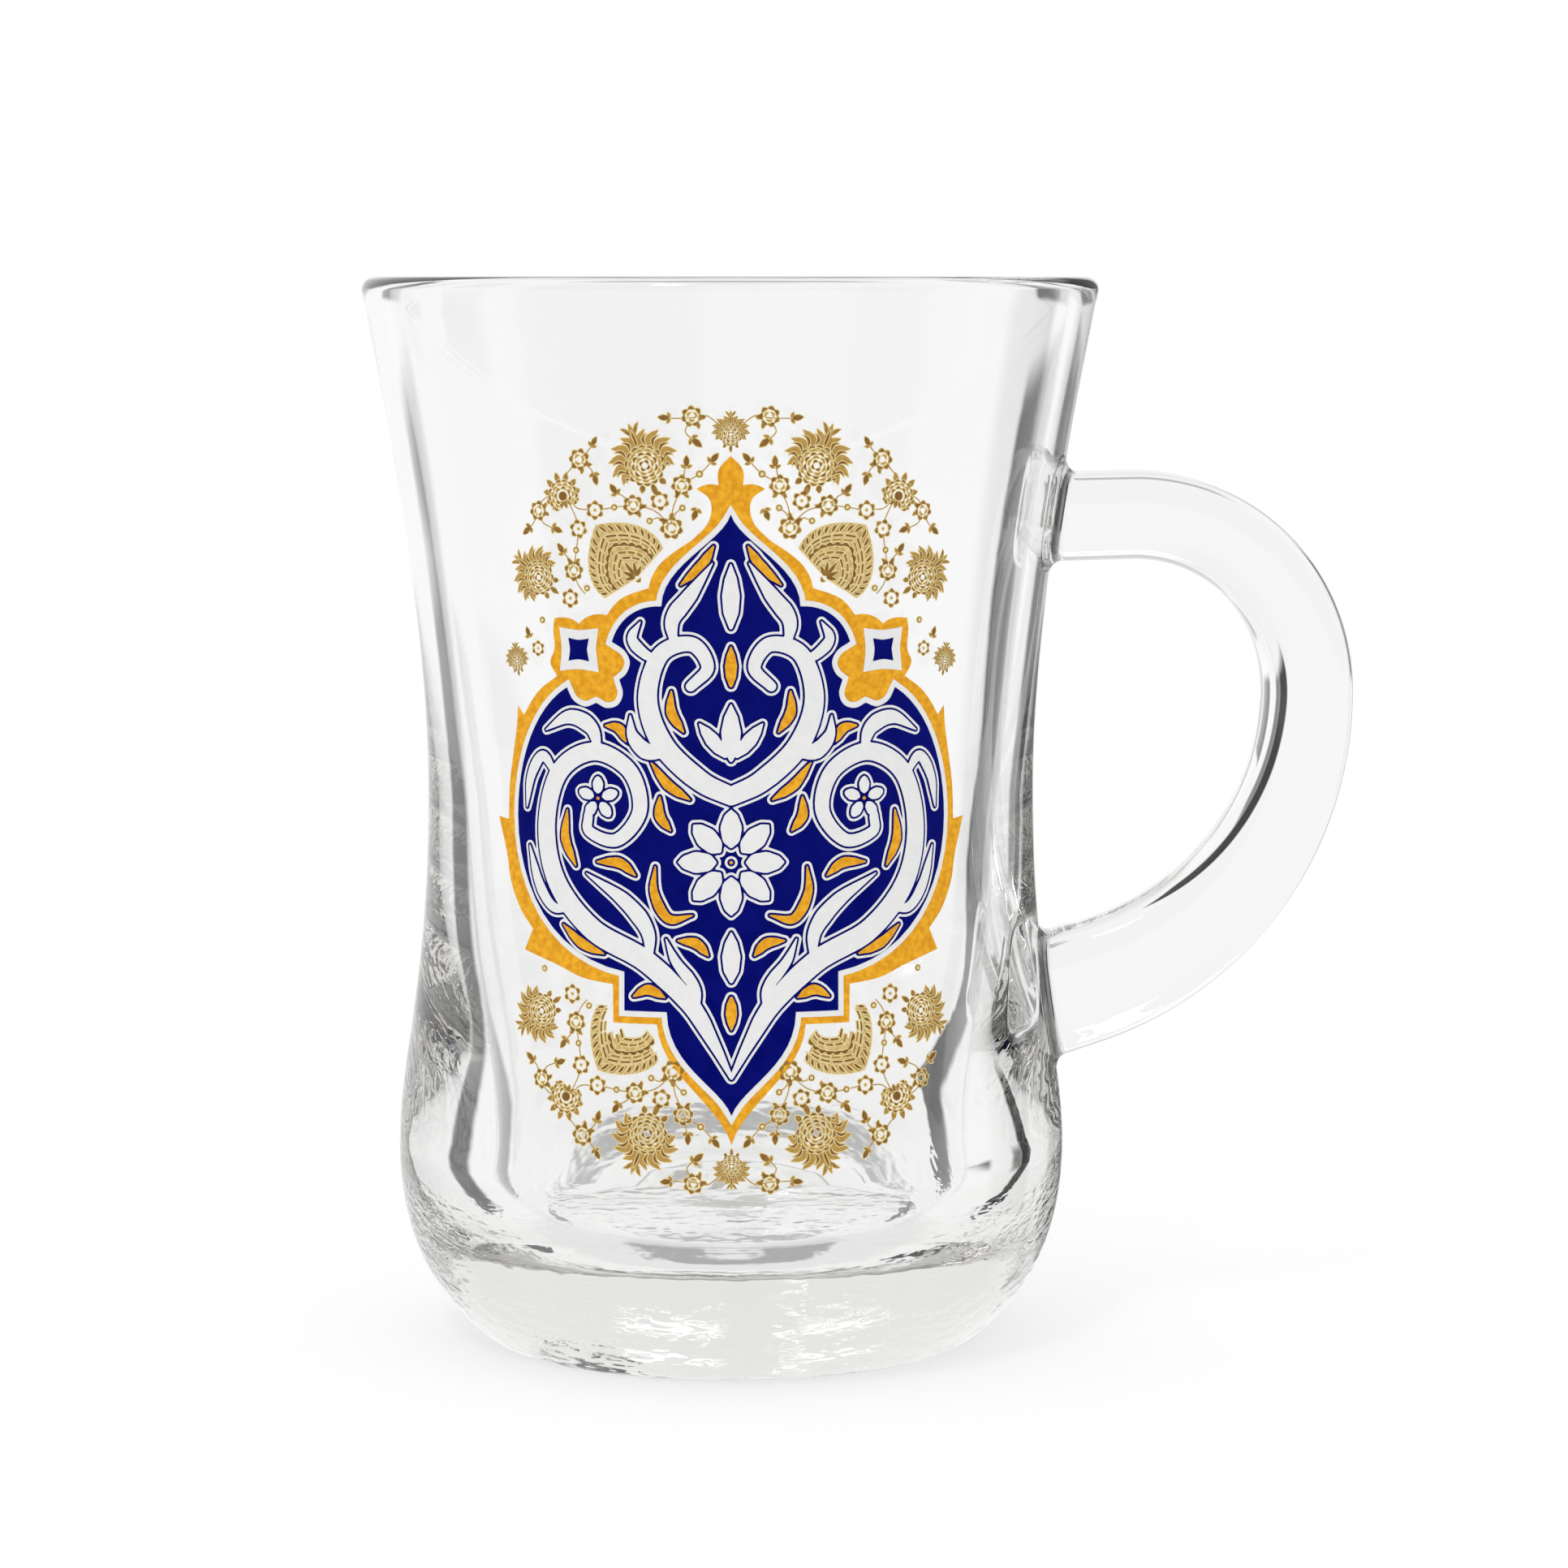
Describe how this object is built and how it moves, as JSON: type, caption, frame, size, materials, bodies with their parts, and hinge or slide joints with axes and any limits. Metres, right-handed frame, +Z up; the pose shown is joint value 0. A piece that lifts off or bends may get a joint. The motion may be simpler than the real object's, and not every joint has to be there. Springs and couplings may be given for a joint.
{
  "type": "handled tea glass",
  "caption": "Clear waisted tea glass with a thick rounded base, a flared rim, a fused C-shaped finger handle and a fired blue, ivory and gold arabesque print on its front.",
  "frame": {"origin": "middle of the flat foot, on the axis of the glass, at the surface it stands on", "axes": "+Z up along the axis of the glass, +X towards the handle, -Y towards the printed front"},
  "size_m": [0.0864, 0.064, 0.0929],
  "materials": {
    "clear_glass": "fire-polished clear soda-lime glass with faint ripples from the mould",
    "cobalt_enamel": "glossy fired cobalt blue glass enamel",
    "ivory_enamel": "satin fired ivory white glass enamel",
    "amber_enamel": "mottled fired amber gold glass enamel",
    "gold_enamel": "fine-line fired gold glass enamel with brown shading"
  },
  "bodies": {
    "root": {"glass_body": "clear_glass", "handle": "clear_glass", "print_panel": "cobalt_enamel", "print_star_left": "cobalt_enamel", "print_star_right": "cobalt_enamel", "print_keyline": "ivory_enamel", "print_lower_vine_left": "ivory_enamel", "print_lower_vine_right": "ivory_enamel", "print_upper_vine_left": "ivory_enamel", "print_upper_vine_right": "ivory_enamel", "print_rosette": "ivory_enamel", "print_lotus": "ivory_enamel", "print_bud": "ivory_enamel", "print_pendant": "ivory_enamel", "print_whorl_left": "ivory_enamel", "print_whorl_right": "ivory_enamel", "print_border": "amber_enamel", "lotus_top_left": "gold_enamel", "fan_palmette_top_left": "gold_enamel", "side_palmette_top_left": "gold_enamel", "small_flower_top_left": "gold_enamel", "lotus_top_right": "gold_enamel", "fan_palmette_top_right": "gold_enamel", "side_palmette_top_right": "gold_enamel", "small_flower_top_right": "gold_enamel", "lotus_bottom_left": "gold_enamel", "fan_palmette_bottom_left": "gold_enamel", "side_palmette_bottom_left": "gold_enamel", "small_flower_bottom_left": "gold_enamel", "lotus_bottom_right": "gold_enamel", "fan_palmette_bottom_right": "gold_enamel", "side_palmette_bottom_right": "gold_enamel", "small_flower_bottom_right": "gold_enamel", "centre_flower_top": "gold_enamel", "centre_flower_bottom": "gold_enamel"}
  },
  "joints": []
}
